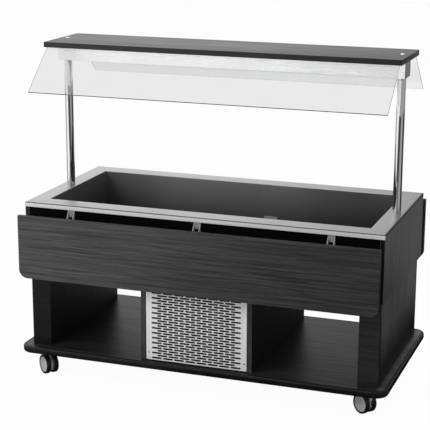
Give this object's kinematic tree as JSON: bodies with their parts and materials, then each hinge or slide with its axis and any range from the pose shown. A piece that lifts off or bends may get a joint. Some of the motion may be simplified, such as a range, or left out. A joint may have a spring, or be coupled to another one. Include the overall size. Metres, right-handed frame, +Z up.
{
  "type": "mobile salad bar",
  "caption": "Chilled buffet counter on casters: open steel well in a laminate cabinet, lit canopy on two posts with glass sneeze guards, and folding tray slides front and back.",
  "frame": {"origin": "on the floor, under the middle of the cabinet", "axes": "+X along the length to the right as a guest at the front sees it, +Y from the front (pictured) side to the back, +Z up"},
  "size_m": [1.508, 0.836, 1.3315],
  "materials": {
    "laminate": "wood-grain laminate",
    "laminate_black": "wood-grain laminate",
    "laminate_grey": "wood-grain laminate",
    "steel": "brushed stainless steel",
    "tank_steel": "dark brushed stainless steel",
    "chrome": "bright chrome tube",
    "zinc": "bright zinc plate",
    "glass": "clear polished glass",
    "diffuser": "milky sheet",
    "white_plastic": "moulded",
    "grey_plastic": "moulded, light grey",
    "black_plastic": "moulded, black",
    "tyre": "smooth tread",
    "foam": "sprayed foam skin",
    "copper": "drawn copper tube",
    "fins": "pressed fins",
    "black_paint": "black enamel"
  },
  "bodies": {
    "cabinet": {"base_board": "laminate", "caster_stems": "zinc", "column_outer_panels": "laminate", "column_inner_panels": "laminate_black", "column_face_boards": "laminate", "bay_boards": "laminate", "grille_front": "steel", "grille_rear": "steel", "grille_screws": "zinc", "end_panels": "laminate", "front_panel": "laminate_black", "rear_panel": "laminate_black", "bottom_panel": "laminate_black", "rim": "steel", "tank_floor": "tank_steel", "tank_sides": "tank_steel", "tank_ends": "tank_steel", "foam": "foam", "evaporator_tube": "copper", "drain_pipe": "steel", "sensor_guard": "steel", "posts": "chrome", "post_fixings": "zinc", "canopy_board": "laminate_grey", "screw_caps": "white_plastic", "light_housing": "steel", "led_batten": "white_plastic", "light_diffuser": "diffuser", "glass_front": "glass", "glass_rear": "glass", "bracket_arms": "zinc", "hinge_pins": "zinc", "compressor": "black_paint", "condenser": "fins", "fan_shroud": "black_paint", "fan_motor": "black_paint", "refrigerant_pipes": "copper", "control_panel": "black_plastic", "power_inlet": "black_plastic"},
    "tray_front": {"leaf_front": "laminate", "leaf_plates_front": "zinc"},
    "tray_rear": {"leaf_rear": "laminate", "leaf_plates_rear": "zinc"},
    "fan": {"fan_blades": "fins"},
    "rocker_cooling": {"switch_cooling": "black_plastic"},
    "rocker_light": {"switch_light": "black_plastic"},
    "swivel_fl": {"caster_fl": "grey_plastic"},
    "wheels_fl": {"wheelset_fl": "grey_plastic", "tyres_fl": "tyre"},
    "swivel_fr": {"caster_fr": "grey_plastic"},
    "wheels_fr": {"wheelset_fr": "grey_plastic", "tyres_fr": "tyre"},
    "swivel_rl": {"caster_rl": "grey_plastic"},
    "wheels_rl": {"wheelset_rl": "grey_plastic", "tyres_rl": "tyre"},
    "pedal_rl": {"brake_pedal_rl": "black_plastic"},
    "swivel_rr": {"caster_rr": "grey_plastic"},
    "wheels_rr": {"wheelset_rr": "grey_plastic", "tyres_rr": "tyre"},
    "pedal_rr": {"brake_pedal_rr": "black_plastic"}
  },
  "joints": [
    {"name": "tray_front_fold", "type": "hinge", "parent": "cabinet", "child": "tray_front", "pos_m": [0, -0.385, 0.66], "axis": [-1, 0, 0], "range_deg": [0, 90]},
    {"name": "tray_rear_fold", "type": "hinge", "parent": "cabinet", "child": "tray_rear", "pos_m": [0, 0.385, 0.66], "axis": [1, 0, 0], "range_deg": [0, 90]},
    {"name": "swivel_fl_turn", "type": "hinge", "parent": "cabinet", "child": "swivel_fl", "pos_m": [-0.679, -0.299, 0.09], "axis": [0, 0, 1], "continuous": true},
    {"name": "wheels_fl_roll", "type": "hinge", "parent": "swivel_fl", "child": "wheels_fl", "pos_m": [-0.65536, -0.31747, 0.04], "axis": [0.6157, 0.788, 0], "continuous": true},
    {"name": "swivel_fr_turn", "type": "hinge", "parent": "cabinet", "child": "swivel_fr", "pos_m": [0.679, -0.299, 0.09], "axis": [0, 0, 1], "continuous": true},
    {"name": "wheels_fr_roll", "type": "hinge", "parent": "swivel_fr", "child": "wheels_fr", "pos_m": [0.65443, -0.28179, 0.04], "axis": [-0.5736, -0.8192, 0], "continuous": true},
    {"name": "swivel_rl_turn", "type": "hinge", "parent": "cabinet", "child": "swivel_rl", "pos_m": [-0.679, 0.299, 0.09], "axis": [0, 0, 1], "continuous": true},
    {"name": "wheels_rl_roll", "type": "hinge", "parent": "swivel_rl", "child": "wheels_rl", "pos_m": [-0.65159, 0.3112, 0.04], "axis": [-0.4067, 0.9135, 0], "continuous": true},
    {"name": "pedal_rl_press", "type": "hinge", "parent": "swivel_rl", "child": "pedal_rl", "pos_m": [-0.63698, 0.31771, 0.085], "axis": [-0.4067, 0.9135, 0], "range_deg": [0, 10]},
    {"name": "swivel_rr_turn", "type": "hinge", "parent": "cabinet", "child": "swivel_rr", "pos_m": [0.679, 0.299, 0.09], "axis": [0, 0, 1], "continuous": true},
    {"name": "wheels_rr_roll", "type": "hinge", "parent": "swivel_rr", "child": "wheels_rr", "pos_m": [0.65302, 0.314, 0.04], "axis": [-0.5, -0.866, 0], "continuous": true},
    {"name": "pedal_rr_press", "type": "hinge", "parent": "swivel_rr", "child": "pedal_rr", "pos_m": [0.63916, 0.322, 0.085], "axis": [-0.5, -0.866, 0], "range_deg": [0, 10]},
    {"name": "fan_turn", "type": "hinge", "parent": "cabinet", "child": "fan", "pos_m": [0, -0.2805, 0.263], "axis": [0, 1, 0], "continuous": true},
    {"name": "rocker_cooling_tip", "type": "hinge", "parent": "cabinet", "child": "rocker_cooling", "pos_m": [-0.096, 0.352, 0.421], "axis": [1, 0, 0], "range_deg": [0, 16]},
    {"name": "rocker_light_tip", "type": "hinge", "parent": "cabinet", "child": "rocker_light", "pos_m": [-0.066, 0.352, 0.421], "axis": [1, 0, 0], "range_deg": [0, 16]}
  ]
}
